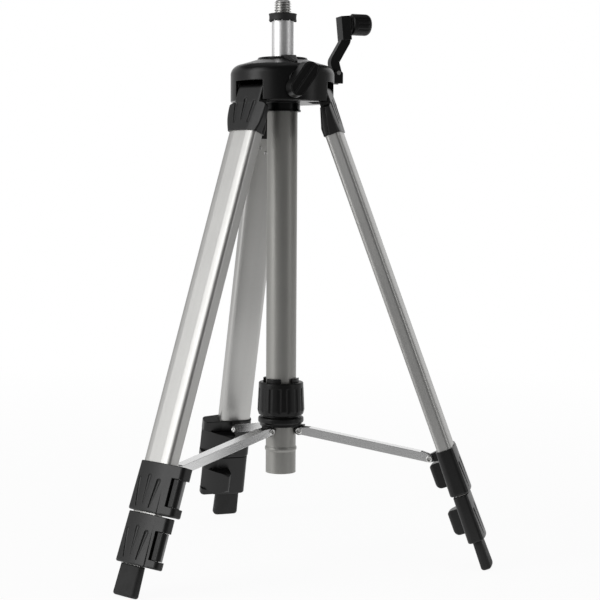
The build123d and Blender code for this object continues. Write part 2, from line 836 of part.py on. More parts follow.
hub -= around(bar_x(rivet_bore, -tongue_reach, tongue_reach, hub_pivot_radius, hub_pivot_z), 3)
write("brace_hub", hub)

# Lock nut: coned ring with shallow grip flutes
nut_bore = collet_radius + running_gap
nut_belly = nut_bore + nut_belly_wall
nut_belly_z = nut_bottom + nut_belly_height
nut_face = make_face(Polyline(
    (nut_bore, nut_bottom),
    (nut_bore + nut_bottom_wall, nut_bottom),
    (nut_belly, nut_belly_z),
    (nut_bore + nut_top_wall, nut_top),
    (nut_bore, nut_top),
    close=True,
))
nut_face = fillet(nut_face.vertices().sort_by(Axis.X)[2:], nut_round)
nut = revolve(Plane.XZ * nut_face, Axis.Z)
nut_slope = math.degrees(math.atan2(nut_belly_wall - nut_top_wall, nut_top - nut_belly_z))
nut_flute_top = nut_top - nut_belly_z - nut_flute_margin
nut_flute = bar_z(nut_flute_radius, -nut_height, nut_flute_top, nut_flute_radius - nut_flute_depth)
nut_flute = Pos(nut_belly, 0, nut_belly_z) * Rot(0, -nut_slope, 0) * nut_flute
nut -= around(nut_flute, nut_flutes)
write("hub_lock_nut", nut)

# Braces: channels open downwards, web cut back at both ends, riveted over the tongues
lug_along = upper_clamp_start + lug_drop
lug_out = hub_pivot_radius - pivot_radius + pivot_out
lug_place = leg_axis_radius + lug_along * math.sin(tilt) + lug_out * math.cos(tilt)
lug_z = leg_axis_z - lug_along * math.cos(tilt) + lug_out * math.sin(tilt)
brace_span = math.hypot(lug_place - hub_pivot_radius, hub_pivot_z - lug_z)
brace_drop = math.degrees(math.atan2(hub_pivot_z - lug_z, lug_place - hub_pivot_radius))
channel_half = brace_width / 2 - brace_wall
web_start = brace_web_setback
web_end = brace_span - brace_web_setback
brace_side = make_face(
    [
        Line((0, -brace_below), (brace_span, -brace_below)),
        ThreePointArc((brace_span, -brace_below), (brace_span + brace_below, 0), (brace_span, brace_below)),
        Line((brace_span, brace_below), (web_end, brace_above)),
        Line((web_end, brace_above), (web_start, brace_above)),
        Line((web_start, brace_above), (0, brace_below)),
        ThreePointArc((0, brace_below), (-brace_below, 0), (0, -brace_below)),
    ]
)
brace = extrude(Plane.YZ * brace_side, brace_width / 2, both=True)
brace_ends = (-brace_below - through, brace_span + brace_below + through)
channel_span = (-channel_half, channel_half)
channel_floor = -brace_below - through
brace -= block(channel_span, brace_ends, (channel_floor, brace_above - brace_wall))
for web_cut in ((brace_ends[0], web_start), (web_end, brace_ends[1])):
    brace -= block(channel_span, web_cut, (channel_floor, brace_above + through))
rivets = []
for y in (0, brace_span):
    brace -= bar_x(rivet_radius + seat_gap, -brace_width, brace_width, y, 0)
    rivet = bar_x(rivet_radius, -brace_width / 2, brace_width / 2, y, 0)
    for low in (-brace_width / 2 - rivet_head_height, brace_width / 2):
        rivet += bar_x(rivet_head_radius, low, low + rivet_head_height, y, 0)
    rivets.append(rivet)

# Hinge block: neck about the head pivot, fluted cap over the tube and a plug inside it
neck_front = pivot_out + neck_radius
neck_back = pivot_out - neck_radius
neck_top = -pivot_along
neck_end = -shoulder_along - shoulder_ramp
neck_profile = make_face(
    [
        Line((neck_front, neck_top), (neck_front, neck_end)),
        Line((neck_front, neck_end), (neck_back, neck_end)),
        Line((neck_back, neck_end), (neck_back, neck_top)),
        ThreePointArc((neck_back, neck_top), (pivot_out, neck_top + neck_radius), (neck_front, neck_top)),
    ]
)
block_size = grown(upper_size, block_skin)
collar_size = (neck_half_width + shoulder_step, neck_front, -neck_back + shoulder_step / 2)
shoulder_size = (shoulder_half_width, neck_front + shoulder_step / 2, -neck_back + 1.5 * shoulder_step)
hinge_block = extrude(Plane.YZ * neck_profile, neck_half_width, both=True)
hinge_block += leg_sleeve(collar_size, shoulder_size, shoulder_along - shoulder_ramp, shoulder_along)
hinge_block += leg_sleeve(shoulder_size, block_size, shoulder_along, block_end)
hinge_block -= leg_prism(grown(upper_size, seat_gap), tube_socket_along, block_end + through)
plug_size = grown(upper_size, -leg_wall - seat_gap)
hinge_block += leg_prism(plug_size, tube_socket_along - through, block_plug_end)
hinge_block -= flutes(shoulder_along - block_flute_rise, block_flute_length, shoulder_size[1])

# Leg tubes, the outer one grooved along both sides
upper_clamp_end = upper_clamp_start + upper_clamp_length
lower_clamp_start = upper_clamp_end + clamp_gap
lower_clamp_end = lower_clamp_start + lower_clamp_length
foot_start = lower_clamp_end + foot_gap
foot_end = foot_start + foot_length
upper_tube_end = upper_clamp_start + upper_clamp_grip
middle_tube_end = lower_clamp_start + lower_clamp_grip
middle_tube_start = block_plug_end + nest_step
lower_tube_end = foot_end - foot_floor
upper_tube = leg_tube(upper_size, tube_socket_along, upper_tube_end)
middle_tube = leg_tube(middle_size, middle_tube_start, middle_tube_end)
lower_tube = leg_tube(lower_size, middle_tube_start + lower_nest_step, lower_tube_end)
for side in (-leg_half_width, leg_half_width):
    upper_tube -= block(
        (side - leg_groove_depth, side + leg_groove_depth),
        (-leg_groove_width / 2, leg_groove_width / 2),
        (-upper_tube_end - through, through - tube_socket_along),
    )


def leg_clamp(tube_size, inner_size, inner_shift, body_size, axis, lever_start, start, end, seat_end):
    """Clamp body: fluted sleeve, socket for one tube, sliding bore for the next, and lever ears."""
    bottom_size = grown(body_size, clamp_flare)
    body = leg_sleeve(body_size, bottom_size, start, end, clamp_softness)
    root_x = ear_root_inset - body_size[0]
    root_crown = leg_front_crown_height * root_x**2 / (leg_half_width * body_size[0])
    ear_front = body_size[1] - root_crown - ear_front_step
    ear_back = ear_back_step - body_size[2]
    ear_root = Pos(root_x + through, (ear_front + ear_back) / 2)
    ear = make_hull(
        (Pos(*axis) * Circle(ear_radius)).edges()
        + (Pos(axis[0], ear_back + ear_radius) * Circle(ear_radius)).edges()
        + (ear_root * Rectangle(2 * through, ear_front - ear_back)).edges()
    )
    ears = Pos(0, 0, -end) * extrude(ear, end - start)
    rounded = []
    for shell in (body, ears):
        shell = fillet(shell.edges().group_by(Axis.Z)[0], clamp_bottom_round)
        rounded.append(fillet(shell.edges().group_by(Axis.Z)[-1], clamp_top_round))
    body, ears = rounded
    window_top = slip_gap - start - lever_start
    ears -= block(
        (2 * axis[0], axis[0] + ear_radius + ear_window),
        (-2 * bottom_size[2], 2 * bottom_size[1]),
        (window_top - lever_length - 2 * slip_gap, window_top),
    )
    body += ears
    body -= leg_prism(grown(tube_size, seat_gap), start - through, seat_end)
    sliding_bore = leg_prism(grown(inner_size, slip_gap), seat_end - through, end + through)
    body -= Pos(inner_shift, 0, 0) * sliding_bore
    body -= bar_z(lever_pin_radius + seat_gap, -end - through, -start - lever_pin_margin, *axis)
    return body - flutes(start + clamp_flute_drop, clamp_flute_length, body_size[1] + clamp_flare / 2)


def lever_pin(axis, start, end):
    """Steel pin through both ears of a clamp, let in from below."""
    return bar_z(lever_pin_radius, slip_gap - end, -start - lever_pin_margin - seat_gap, *axis)


def clamp_lever(axis, body_size, lever_start, start):
    """Flip lever: barrel on the pin, wedge-shaped body lying across the clamp's inner face."""
    x, y = axis
    near = -body_size[2] - clamp_flare - slip_gap
    far = near - lever_rise
    barrel = ear_radius - lever_barrel_gap
    nose_middle = (-lever_edge - 0.15 * lever_nose, far + 0.4 * lever_nose)
    outline = [
        ThreePointArc((x - barrel, y), (0.72 * x, 0.66 * far), (-lever_crest, far)),
        ThreePointArc((-lever_crest, far), nose_middle, (-lever_edge, far + lever_nose)),
        Polyline(
            (-lever_edge, far + lever_nose),
            (-lever_edge, near),
            (x + barrel + slip_gap, near),
            (x + barrel, y),
        ),
        ThreePointArc((x + barrel, y), (x, y + barrel), (x - barrel, y)),
    ]
    top = -start - lever_start
    body = Pos(0, 0, top - lever_length) * extrude(make_face(outline), lever_length)
    depth = y + barrel + through - far
    side = Pos(far + depth / 2, top - lever_length / 2) * Rectangle(depth, lever_length)
    corners = side.vertices().sort_by(Axis.X)[:2].sort_by(Axis.Y)
    side = fillet(corners[0], lever_bottom_corner)
    side = fillet(side.vertices().sort_by(Axis.Y)[-2:].sort_by(Axis.X)[0], lever_top_corner)
    body = body & extrude(Plane.YZ * side, -2 * x, both=True)
    return body - bar_z(lever_pin_radius + running_gap, top - lever_length - through, top + through, x, y)


upper_axis = (-leg_half_width - upper_ear_reach, -upper_ear_back)
lower_axis = (-middle_size[0] - lower_ear_reach, -lower_ear_back)
upper_body = grown(upper_size, clamp_skin)
lower_body = grown(middle_size, lower_clamp_skin, lower_clamp_side)
upper_clamp = leg_clamp(upper_size, middle_size, middle_offset, upper_body, upper_axis, upper_lever_start,
                        upper_clamp_start, upper_clamp_end, upper_tube_end)
lug_foot = Rectangle(through, 2 * lug_radius + lug_root)
lug = make_hull(
    (Pos(lug_out, -lug_along) * Circle(lug_radius)).edges()
    + (Pos(-leg_back_depth - clamp_skin, -lug_along) * lug_foot).edges()
)
upper_clamp += extrude(Plane.YZ * lug, tongue_half_width, both=True)
upper_clamp -= bar_x(rivet_bore, -tongue_reach, tongue_reach, lug_out, -lug_along)
lower_clamp = leg_clamp(middle_size, lower_size, lower_offset - middle_offset, lower_body, lower_axis,
                        lower_lever_start, lower_clamp_start, lower_clamp_end, middle_tube_end)

foot_top = grown(lower_size, foot_skin)
foot = leg_sleeve(foot_top, grown(foot_top, foot_flare), foot_start, foot_end, foot_softness)
foot = fillet(foot.edges().group_by(Axis.Z)[0], foot_round)
foot -= leg_prism(grown(lower_size, seat_gap), foot_start - through, lower_tube_end)

middle_seat = Pos(middle_offset, 0, 0)
lower_seat = Pos(lower_offset, 0, 0)
leg_pieces = {
    "hinge_block": hinge_block,
    "upper_tube": upper_tube,
    "upper_clamp": upper_clamp,
    "upper_lever_pin": lever_pin(upper_axis, upper_clamp_start, upper_clamp_end),
    "upper_lever": clamp_lever(upper_axis, upper_body, upper_lever_start, upper_clamp_start),
    "middle_tube": middle_seat * middle_tube,
    "lower_clamp": middle_seat * lower_clamp,
    "lower_lever_pin": middle_seat * lever_pin(lower_axis, lower_clamp_start, lower_clamp_end),
    "lower_lever": middle_seat * clamp_lever(lower_axis, lower_body, lower_lever_start, lower_clamp_start),
    "lower_tube": lower_seat * lower_tube,
    "foot": lower_seat * foot,
}
leg_seat = Pos(0, leg_axis_radius, leg_axis_z) * Rot(leg_tilt, 0, 0)
brace_seat = Pos(0, hub_pivot_radius, hub_pivot_z) * Rot(-brace_drop, 0, 0)
for leg, turn in (("rear", 0), ("left", 120), ("right", 240)):
    for name, piece in leg_pieces.items():
        write(f"{leg}_{name}", Rot(0, 0, turn) * leg_seat * piece)
    write(f"{leg}_brace", Rot(0, 0, turn) * brace_seat * brace)
    write(f"{leg}_brace_rivets", Rot(0, 0, turn) * brace_seat * Compound(children=rivets))
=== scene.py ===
"""Finishes and small surfaces of a surveying tripod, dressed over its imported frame."""
import json
import math

import bmesh
import bpy
import numpy as np
from mathutils import Matrix, Vector


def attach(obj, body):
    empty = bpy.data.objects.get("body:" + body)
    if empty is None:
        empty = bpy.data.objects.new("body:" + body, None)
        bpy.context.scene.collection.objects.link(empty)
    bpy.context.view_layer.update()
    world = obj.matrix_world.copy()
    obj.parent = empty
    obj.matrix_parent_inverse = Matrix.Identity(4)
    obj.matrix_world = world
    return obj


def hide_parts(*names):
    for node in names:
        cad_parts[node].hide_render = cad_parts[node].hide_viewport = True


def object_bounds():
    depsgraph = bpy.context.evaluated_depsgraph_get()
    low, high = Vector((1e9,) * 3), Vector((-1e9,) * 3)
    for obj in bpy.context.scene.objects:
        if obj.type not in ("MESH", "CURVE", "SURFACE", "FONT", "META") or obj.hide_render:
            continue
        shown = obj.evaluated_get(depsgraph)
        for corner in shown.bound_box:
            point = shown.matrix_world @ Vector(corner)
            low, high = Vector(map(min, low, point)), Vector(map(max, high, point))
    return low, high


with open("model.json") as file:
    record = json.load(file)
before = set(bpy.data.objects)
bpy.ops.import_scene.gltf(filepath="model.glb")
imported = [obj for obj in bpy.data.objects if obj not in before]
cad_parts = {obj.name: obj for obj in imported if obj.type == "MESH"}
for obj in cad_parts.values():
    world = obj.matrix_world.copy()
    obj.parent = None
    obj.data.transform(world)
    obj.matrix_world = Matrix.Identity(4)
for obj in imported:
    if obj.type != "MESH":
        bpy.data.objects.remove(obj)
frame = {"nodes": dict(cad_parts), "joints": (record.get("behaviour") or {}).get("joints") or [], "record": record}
cad_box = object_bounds()

MM = 0.001
FULL_TURN = 2.0 * math.pi
QUARTER_TURN = math.pi / 2
LEGS = {"rear": 0.0, "left": 120.0, "right": 240.0}
joints = {joint["name"]: joint for joint in frame["joints"]}

# Camera of the photograph, in the part's own frame: metres, degrees, and pixels of its frame
camera_place = Vector((-0.4299, -1.2999, -0.1607))
camera_turn = -18.294
camera_yaw = -0.726
camera_pitch = -4.235
camera_roll = -0.334
focal_pixels = 1479.8
frame_pixels = 600
sensor_width = 36.0
farthest_seen = 50.0

# Meshes: how near points merge, and the angle from which an edge stays sharp
merge_reach = 1e-7
sharp_angle = math.radians(40)

# Finishes: radii of edges painted paler as rubbed wear and as a painted highlight, limits between which a pattern
# fades in, and green in a warm grey
plastic_worn_lit_edge = 0.6 * MM
aluminium_worn_lit_edge = 0.4 * MM
edge_fade = (0.02, 0.3)
band_fade = (0.0, 0.4)
front_fade = (0.86, 0.93)
even_fade = (0.3, 0.7)
warm_green = 0.2

# Stud: major radius and pitch of a 5/8 inch coarse thread, with root and flank in half pitches
stud_major = 15.875 * MM / 2
thread_pitch = 25.4 * MM / 11
thread_depth = 1.45 * MM
thread_root = 0.14
thread_flank = 0.72
thread_start = 0.25 * MM
thread_fade = (0.2 * MM, 0.6 * MM)
thread_rows = 120
stud_columns = 96
stud_core = stud_major - thread_depth
stud_foot = stud_major - 0.3 * MM
stud_height = 12.7 * MM
tip_height = 1.7 * MM
tip_start = stud_height - tip_height * 1.5
tip_slope = 0.9
dome_rise = tip_height * 0.6
dome_power = 0.7
shank_radius = 6.0 * MM
shank_depth = 20.0 * MM
collar_radius = stud_major + 1.3 * MM
collar_height = 1.5 * MM

# Hollow rivets of the braces
rivet_shank = 2.0 * MM
rivet_rim = 3.2 * MM
rivet_rise = 1.25 * MM
rivet_hollow = 1.35 * MM
rivet_hollow_depth = 1.2 * MM
brace_half_width = 5.25 * MM
brace_lean = math.radians(79.9)

# Upper tube of a leg: its section, and its ends as distances down the leg
leg_tilt = math.radians(20.24)
leg_start = Vector((0.0, 30.07 * MM, -58.3 * MM))
leg_half_width = 16.0 * MM
leg_front = 7.6 * MM
leg_back = 7.3 * MM
leg_crowns = (1.5 * MM, 0.5 * MM)
leg_corner = 2.8 * MM
leg_wall = 1.3 * MM
tube_ends = (43.0 * MM, 382.0 * MM)
side_power = 0.08
outline_samples = 6000

# Hinge block: neck about the head's pivot, rounded shoulder, fluted shield over the tube and the
# core behind it, as distances down the leg
pivot_along = 15.0 * MM
pivot_out = 3.5 * MM
neck_radius = 5.3 * MM
neck_half_width = 15.0 * MM
neck_corner = 0.5 * MM
neck_arc_start = 0.02
shoulder_along = 28.4 * MM
shoulder_height = 2.6 * MM
shoulder_end = shoulder_along + shoulder_height
shoulder_half_width = 22.2 * MM
shoulder_front = 9.25 * MM
shoulder_back = 1.8 * MM
cap_corner = 2.4 * MM
cap_end = 55.0 * MM
cap_skin = 1.2 * MM
cap_bulge = 1.7 * MM
cap_half_width = leg_half_width + cap_skin
cap_front = leg_front + cap_skin
shield_back = -4.0 * MM
corner_limit = 0.9
block_columns = 240
grid_step = 0.4 * MM
core_half_widths = (15.0 * MM, 16.9 * MM)
core_backs = (-3.15 * MM, -8.5 * MM)
core_full = 47.0 * MM
core_end = cap_end - grid_step

# Flutes on a hinge block: heads (across, down), leans, radii and depths from head to tail, length,
# and the share of the half depth beyond which a face counts as the front
flute_heads = ((13.0 * MM, 28.9 * MM), (1.8 * MM, 25.9 * MM), (-9.4 * MM, 28.9 * MM))
flute_leans = (math.radians(9.0), 0.0, math.radians(-9.0))
flute_radii = (2.1 * MM, 1.0 * MM)
flute_depths = (1.25 * MM, 0.7 * MM)
flute_length = 18.0 * MM
flute_front = 0.6

# Crimps that hold each upper tube on its hinge block: distance down the leg, and sideways, with
# their reaches and the width of the lip in radii
crimps = ((64.1 * MM, 7.1 * MM), (69.1 * MM, 0.8 * MM))
crimp_radius = 1.3 * MM
crimp_lip = 0.45 * MM
crimp_lip_width = 0.2
crimp_floor = 0.04 * MM
crimp_floor_reach = 1.4
crimp_reach = 1.5
crimp_columns = 28

# Root of the ears on the leg clamps: its place across the leg and its reach, and the ears' front
ear_root = (-16.6 * MM, 3.6 * MM)
ear_lean = math.radians(9.0)
ear_front = Vector((-math.sin(ear_lean), math.cos(ear_lean), 0.0))

# Cam faces on the barrels of the flip levers: their ends down the leg, and their section
lever_spans = {"upper": (369.6 * MM, 393.2 * MM), "lower": (415.4 * MM, 439.0 * MM)}
cam_front = 4.03 * MM
cam_reach = 5.15 * MM
cam_core = 3.0 * MM
cam_turns = (100.0, -45.0)
cam_columns = 40
cam_least_sine = 0.1

# Studio: heights, and distances from the column, in metres
object_middle = -0.25
fill_level = 0.4
floor_level = cad_box[0].z
floor_reach = 8.0
floor_tone = 0.92
floor_white = 0.94
floor_fade = (0.6, 1.6)
card_distance = 2.3
card_bottom = -0.5
card_top = 1.4
card_columns = 25
ceiling_inner = 0.1
floor_card_inner = 0.28
floor_card_level = floor_level + 2.0 * MM


class Value:
    """One output of a shader node, for arithmetic: each operation adds a Math node."""

    def __init__(self, finish, socket):
        self.finish = finish
        self.socket = socket

    def combine(self, operation, first, second):
        return self.finish.node("Math", {"operation": operation}, {0: first, 1: second})

    def __add__(self, other):
        return self.combine("ADD", self, other)

    def __radd__(self, other):
        return self.combine("ADD", other, self)

    def __sub__(self, other):
        return self.combine("SUBTRACT", self, other)

    def __rsub__(self, other):
        return self.combine("SUBTRACT", other, self)

    def __mul__(self, other):
        return self.combine("MULTIPLY", self, other)

    def __rmul__(self, other):
        return self.combine("MULTIPLY", other, self)

    def __truediv__(self, other):
        return self.combine("DIVIDE", self, other)

    def clipped(self, low, high):
        """The share of the way from low to high, held between 0 and 1."""
        return self.finish.node(
            "MapRange", {"clamp": True}, {"Value": self, "From Min": low, "From Max": high}
        )


class Shading:
    """A node tree, with one method that makes any shader node."""

    def __init__(self, tree):
        self.tree = tree

    def node(self, kind, settings=None, inputs=None, output=0):
        """A node of a type: its settings are set first, then the values or links of its sockets."""
        made = self.tree.nodes.new("ShaderNode" + kind)
        for name, value in (settings or {}).items():
            setattr(made, name, value)
        for key, value in (inputs or {}).items():
            self.join(made.inputs[key], value)
        return Value(self, made.outputs[output])

    def join(self, socket, value):
        """A link to a socket, or its constant value."""
        if isinstance(value, Value):
            self.tree.links.new(value.socket, socket)
        else:
            socket.default_value = value

    def seen(self):
        """1 where a ray comes from the camera, a reflection or a clear material, else 0."""
        kinds = ("Camera", "Glossy", "Transmission")
        rays = [self.node("LightPath", output=f"Is {kind} Ray") for kind in kinds]
        first = self.node("Math", {"operation": "MAXIMUM"}, {0: rays[0], 1: rays[1]})
        return self.node("Math", {"operation": "MAXIMUM"}, {0: first, 1: rays[2]})


class Finish(Shading):
    """A material, and the patterns that its surface is made of."""

    def __init__(self, name, **constants):
        self.material = bpy.data.materials.new(name)
        self.material.use_nodes = True
        super().__init__(self.material.node_tree)
        self.shader = self.tree.nodes["Principled BSDF"]
        self.feed(**constants)

    def feed(self, **inputs):
        """Links or values for the shader's own sockets."""
        for name, value in inputs.items():
            self.join(self.shader.inputs[name.replace("_", " ")], value)
        return self

    def show(self, shader):
        """Another shader in place of the material's own."""
        self.join(self.tree.nodes["Material Output"].inputs["Surface"], shader)

    def place(self, turn=(0.0, 0.0, 0.0), stretch=(1.0, 1.0, 1.0)):
        """Object coordinates, turned into a piece's own axes and stretched."""
        coordinate = self.node("TexCoord", output="Object")
        turned = self.node("Mapping", inputs={"Vector": coordinate, "Rotation": turn})
        return self.node("Mapping", inputs={"Vector": turned, "Scale": stretch})

    def noise(self, where, scale, detail=3.0, roughness=0.55):
        """A cloudy pattern about 0.5."""
        return self.node(
            "TexNoise",
            inputs={"Vector": where, "Scale": scale, "Detail": detail, "Roughness": roughness},
        )

    def blend(self, share, first, second):
        """A mix of two colours, or of two normals."""
        return self.node(
            "Mix", {"data_type": "RGBA"}, {0: share, 6: first, 7: second}, output=2
        )

    def band(self, where, middle, reach):
        """1 at a place along X, falling to 0 within a reach on both sides."""
        x = self.node("SeparateXYZ", inputs={0: where}, output="X")
        away = self.node("Math", {"operation": "ABSOLUTE"}, {0: x - middle})
        return (1.0 - away / reach).clipped(*band_fade)

    def length(self, vector):
        """The length of a vector."""
        return self.node("VectorMath", {"operation": "LENGTH"}, {0: vector}, output="Value")

    def alike(self, first, second):
        """The cosine of the angle between two normals."""
        return self.node(
            "VectorMath", {"operation": "DOT_PRODUCT"}, {0: first, 1: second}, output="Value"
        )

    def bump(self, height, strength, distance, normal):
        """A relief on top of a normal."""
        return self.node("Bump", inputs={
            "Height": height, "Strength": strength, "Distance": distance, "Normal": normal,
        })

    def rounded(self, radius, samples=6):
        """The normal of a surface whose edges are rounded off."""
        return self.node("Bevel", {"samples": samples}, {"Radius": radius})

    def edges(self, rounded):
        """How far a rounded normal turns from the flat one: 0 on flat faces, near 1 on edges."""
        turn = self.alike(rounded, self.node("NewGeometry", output="Normal"))
        return (1.0 - turn).clipped(*edge_fade)


def grey(value, warm=0.0):
    """A grey colour, a little warmer with less blue."""
    return (value, value * (1.0 - warm_green * warm), value * (1.0 - warm), 1.0)


def moulded_plastic(name, tone, gloss, shine=0.42, edge_wear_and_highlight=0.03, corner=0.7 * MM, turn=None,
                    front=None):
    """Black moulding: spark-eroded grain, cloudy gloss, scuffs, and paler edges that are partly rubbed wear and
    partly a painted highlight.

    With a turn into a leg's axes, the crease at the root of a clamp's ear is levelled to a front.
    """
    finish = Finish(name, Specular_IOR_Level=shine)
    where = finish.place()
    cloud = finish.noise(where, scale=55.0, detail=4.0)
    fine = finish.noise(where, scale=1500.0, detail=2.0)
    scratched = finish.place(turn=(0.4, 0.2, 0.7), stretch=(1.0, 9.0, 1.0))
    scuffs = finish.noise(scratched, scale=160.0, detail=5.0, roughness=0.7).clipped(0.6, 0.78)
    soft = finish.rounded(corner, samples=12)
    if turn:
        level = finish.node(
            "VectorTransform",
            {"vector_type": "NORMAL", "convert_from": "OBJECT", "convert_to": "WORLD"},
            {"Vector": front},
        )
        flat = finish.node("NewGeometry", output="Normal")
        faces_front = finish.alike(level, flat).clipped(*front_fade)
        near_root = finish.band(finish.place(turn), *ear_root)
        soft = finish.blend(near_root * faces_front, soft, level)
    # Painted highlight: edges are painted paler, partly as rubbed wear and partly as the light they catch.
    rubbed_and_lit_edge = finish.edges(finish.rounded(plastic_worn_lit_edge))
    rubbed_and_lit_edge = rubbed_and_lit_edge * finish.noise(where, scale=240.0).clipped(*even_fade)
    body = finish.blend(cloud.clipped(0.3, 0.75), grey(tone * 0.85), grey(tone * 1.2))
    scuffed = finish.blend(scuffs * 0.35, body, grey(tone * 2.2))
    worn_and_lit_edge = finish.blend(rubbed_and_lit_edge * 0.6, scuffed, grey(edge_wear_and_highlight))
    rough = gloss + cloud * 0.1 - 0.05 + scuffs * 0.08 + fine * 0.06
    return finish.feed(
        Base_Color=worn_and_lit_edge,
        Roughness=rough,
        Normal=finish.bump(fine, strength=0.35, distance=0.06 * MM, normal=soft),
    )


def drawn_aluminium(name, tone, gloss, turn=(0.0, 0.0, 0.0), warm=0.0, metal=1.0, corner=0.5 * MM,
                    mottle=0.12, relief=0.25, streaks=1.0):
    """Drawn tube: streaks along Z of its own axes, anodised bloom, nicks, soft edges, and rubbed edges painted
    paler, partly as wear and partly as a painted highlight.
    """
    finish = Finish(name, Metallic=metal)
    along = finish.place(turn, stretch=(1.0, 1.0, 0.012))
    where = finish.place(turn)
    lines = finish.noise(along, scale=950.0, detail=4.0, roughness=0.65)
    broad = finish.noise(along, scale=170.0, detail=2.0)
    bloom = finish.noise(where, scale=30.0, detail=4.0)
    grain = finish.noise(where, scale=2600.0, detail=2.0)
    nicked = finish.place(turn, stretch=(1.0, 1.0, 0.35))
    nicks = finish.noise(nicked, scale=520.0, detail=3.0, roughness=0.7).clipped(0.72, 0.8)
    speckle = finish.noise(where, scale=420.0, detail=3.0, roughness=0.7)
    shade = (lines + broad - 1.0) * (0.12 * streaks) + (bloom - 0.5) * 0.12
    shade = shade + (speckle - 0.5) * mottle
    dark, pale = grey(tone * 0.86, warm), grey(min(tone * 1.14, 1.0), warm)
    body = finish.blend((shade + 0.5).clipped(*even_fade), dark, pale)
    # Painted highlight: rubbed edges are painted paler, partly as wear and partly as the light they catch; their
    # lower roughness is wear.
    rubbed_and_lit_edge = finish.edges(finish.rounded(aluminium_worn_lit_edge))
    worn_and_lit_edge = finish.blend(rubbed_and_lit_edge * 0.4, body, grey(min(tone * 1.5, 0.95)))
    dented = finish.blend(nicks * 0.5, worn_and_lit_edge, grey(tone * 0.55, warm))
    height = lines * 0.6 + grain * 0.4 - nicks
    rough = gloss + (lines - 0.5) * (0.16 * streaks) + (bloom - 0.5) * 0.12
    soft = finish.rounded(corner, samples=16)
    return finish.feed(
        Base_Color=dented,
        Roughness=rough + nicks * 0.2 - rubbed_and_lit_edge * 0.06,
        Normal=finish.bump(height, strength=relief, distance=0.03 * MM, normal=soft),
    )


def plated_steel(name, tone, gloss, shaded_root=None):
    """Bright plated steel: machining rings about Z, faint haze, specks, and painted shade that darkens a thread's
    root.
    """
    finish = Finish(name, Metallic=1.0)
    where = finish.place()
    rings = finish.noise(finish.place(stretch=(0.1, 0.1, 1.0)), scale=2200.0, detail=3.0)
    haze = finish.noise(where, scale=180.0, detail=4.0)
    specks = finish.noise(where, scale=900.0, detail=2.0).clipped(0.7, 0.78)
    body = finish.blend(haze.clipped(*even_fade), grey(tone * 0.9, 0.02), grey(tone, 0.02))
    specks_and_root_shade = specks * 0.6
    # Painted shade: the root of a thread is darkened as the shade its recess would get.
    if shaded_root:
        out = finish.length(finish.place(stretch=(1.0, 1.0, 0.0)))
        specks_and_root_shade = specks_and_root_shade + (1.0 - out.clipped(*shaded_root)) * 0.65
    soft = finish.rounded(0.2 * MM)
    return finish.feed(
        Base_Color=finish.blend(specks_and_root_shade, body, grey(tone * 0.12, 0.1)),
        Roughness=gloss + (haze - 0.5) * 0.14 + specks_and_root_shade * 0.2,
        Normal=finish.bump(rings, strength=0.2, distance=0.02 * MM, normal=soft),
    )


def foot_rubber(name):
    """Matt rubber: pebbled grain, dusty patches, and paler corners that are partly wear and partly a painted
    highlight.
    """
    finish = Finish(name, Specular_IOR_Level=0.35)
    where = finish.place()
    dust = finish.noise(where, scale=70.0, detail=5.0, roughness=0.65).clipped(0.45, 0.75)
    pebble = finish.noise(where, scale=1100.0, detail=2.0)
    soft = finish.rounded(2.0 * MM, samples=12)
    # Painted highlight: corners are painted paler, partly as wear and partly as the light they catch.
    worn_and_lit_edge = finish.edges(finish.rounded(plastic_worn_lit_edge))
    worn_and_lit_edge = worn_and_lit_edge * finish.noise(where, scale=300.0).clipped(*even_fade)
    body = finish.blend(dust * 0.35, grey(0.012), grey(0.04, 0.06))
    return finish.feed(
        Base_Color=finish.blend(worn_and_lit_edge * 0.5, body, grey(0.07, 0.05)),
        Roughness=0.58 + dust * 0.2 + pebble * 0.06,
        Normal=finish.bump(pebble, strength=0.5, distance=0.08 * MM, normal=soft),
    )


def linked(name, data):
    """A new object of the scene that shows some data."""
    made = bpy.data.objects.new(name, data)
    bpy.context.scene.collection.objects.link(made)
    return made


def grid_mesh(name, grids, closed=True):
    """A mesh from grids of points (rows, columns, 3) of one size, whose columns may close."""
    rows, columns = grids[0].shape[:2]
    index = np.arange(rows * columns).reshape(rows, columns)
    after = np.roll(index, -1, axis=1)
    if not closed:
        index, after = index[:, :-1], after[:, :-1]
    quads = np.stack([index[:-1], after[:-1], after[1:], index[1:]], axis=-1).reshape(-1, 4)
    faces = np.concatenate([quads + number * rows * columns for number in range(len(grids))])
    mesh = bpy.data.meshes.new(name)
    mesh.from_pydata(np.concatenate(grids).reshape(-1, 3).tolist(), [], faces.tolist())
    return mesh


def finished(name, mesh, body, finish):
    """An object for a mesh: merged, smooth by angle, in its material, on its body."""
    work = bmesh.new()
    work.from_mesh(mesh)
    bmesh.ops.remove_doubles(work, verts=work.verts, dist=merge_reach)
    bmesh.ops.recalc_face_normals(work, faces=work.faces)
    work.to_mesh(mesh)
    work.free()
    mesh.shade_smooth()
    mesh.set_sharp_from_angle(angle=sharp_angle)
    piece = linked(name, mesh)
    mesh.materials.append(finish.material)
    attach(piece, body)
    return piece


def surface(name, points, body, finish):
    """A piece from one grid of points: its columns close, and its end rows are poles or rims."""
    return finished(name, grid_mesh(name, [points]), body, finish)


def thread_wave(phase):
    """Height of a 60 degree thread across one pitch, 0 to 1: flat root, flanks, narrow crest."""
    saw = np.abs((phase % 1.0) * 2.0 - 1.0)
    return np.clip((saw - thread_root) / thread_flank, 0.0, 1.0)


